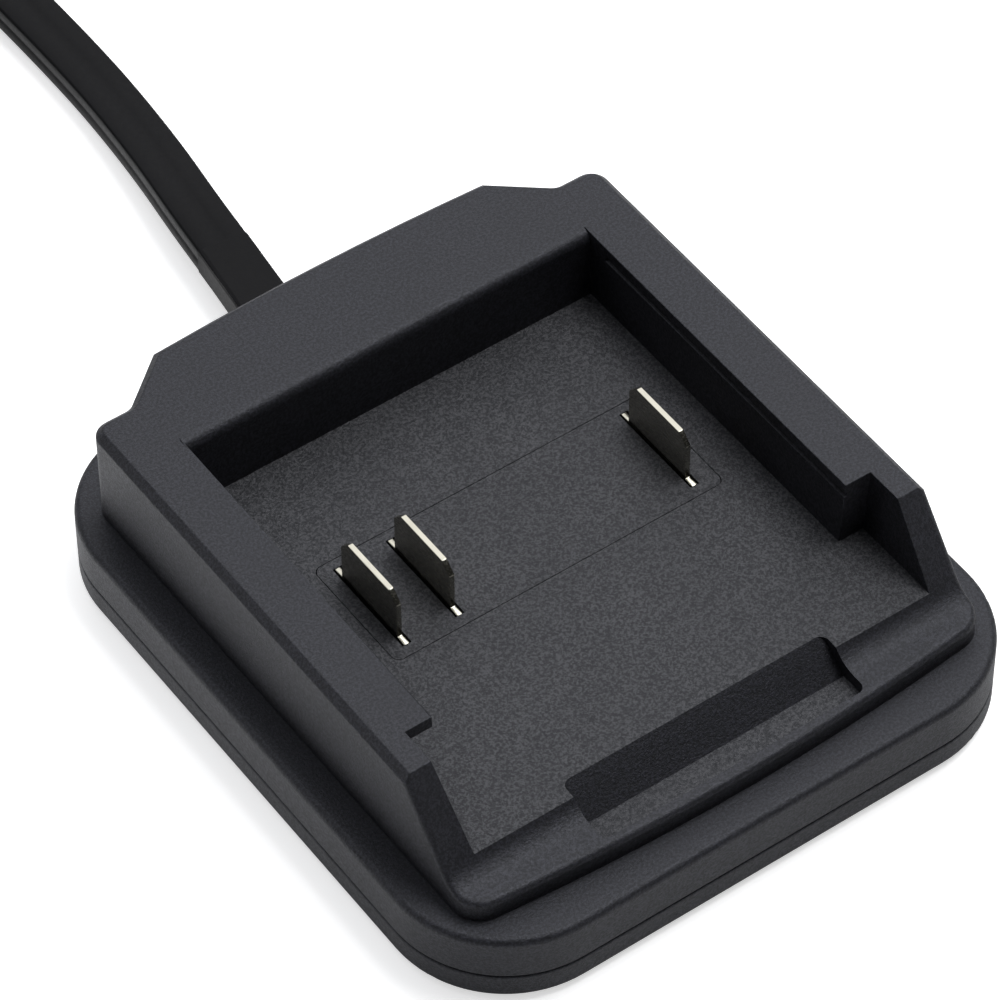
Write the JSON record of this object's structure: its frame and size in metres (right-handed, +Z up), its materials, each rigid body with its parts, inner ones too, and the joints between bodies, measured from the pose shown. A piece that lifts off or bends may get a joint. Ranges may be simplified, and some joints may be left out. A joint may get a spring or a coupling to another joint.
{
  "type": "battery adapter cable",
  "caption": "Charging cradle with an open-fronted battery bay, upright contact blades and a latch pocket on a two-piece rounded base, with a flat cord ending in a barrel plug.",
  "frame": {"origin": "middle of the base's footprint, on the surface that its feet stand on", "axes": "+Z up, +Y from the bay's open front towards the cord, +X to the right seen from the front"},
  "size_m": [0.1021, 0.2049, 0.021],
  "materials": {
    "housing": "fine spark-eroded texture, black",
    "block": "smooth moulded, black",
    "contact_plating": "plated, satin",
    "solder": "bright, slightly dull",
    "board": "green resist",
    "component": "moulded body",
    "cord_jacket": "soft, satin black",
    "lead_red": "satin",
    "lead_black": "satin",
    "tie": "woven strap, matte black",
    "plug_plastic": "moulded, satin black",
    "insulator": "moulded",
    "screw_steel": "zinc plated",
    "foot_rubber": "matte"
  },
  "bodies": {
    "root": {"base_cover": "housing", "base_shell": "housing", "battery_tray": "housing", "contact_block": "block", "contact_positive": "contact_plating", "contact_sense": "contact_plating", "contact_negative": "contact_plating", "solder_positive": "solder", "solder_sense": "solder", "solder_negative": "solder", "circuit_board": "board", "board_fuse": "component", "board_resistor": "component", "strain_relief": "cord_jacket", "cord_inner": "cord_jacket", "cord_clamp": "block", "lead_left": "lead_red", "lead_right": "lead_black", "cord": "cord_jacket", "cord_coil": "cord_jacket", "cord_tie": "tie", "plug_relief": "plug_plastic", "plug_body": "plug_plastic", "plug_barrel": "contact_plating", "plug_insulator": "insulator", "plug_contact": "contact_plating", "clamp_screw_left": "screw_steel", "clamp_screw_right": "screw_steel", "foot_left_front": "foot_rubber", "cover_screw_left_front": "screw_steel", "tray_screw_left_front": "screw_steel", "foot_right_front": "foot_rubber", "cover_screw_right_front": "screw_steel", "tray_screw_right_front": "screw_steel", "foot_left_rear": "foot_rubber", "cover_screw_left_rear": "screw_steel", "tray_screw_left_rear": "screw_steel", "foot_right_rear": "foot_rubber", "cover_screw_right_rear": "screw_steel", "tray_screw_right_rear": "screw_steel"}
  },
  "joints": []
}
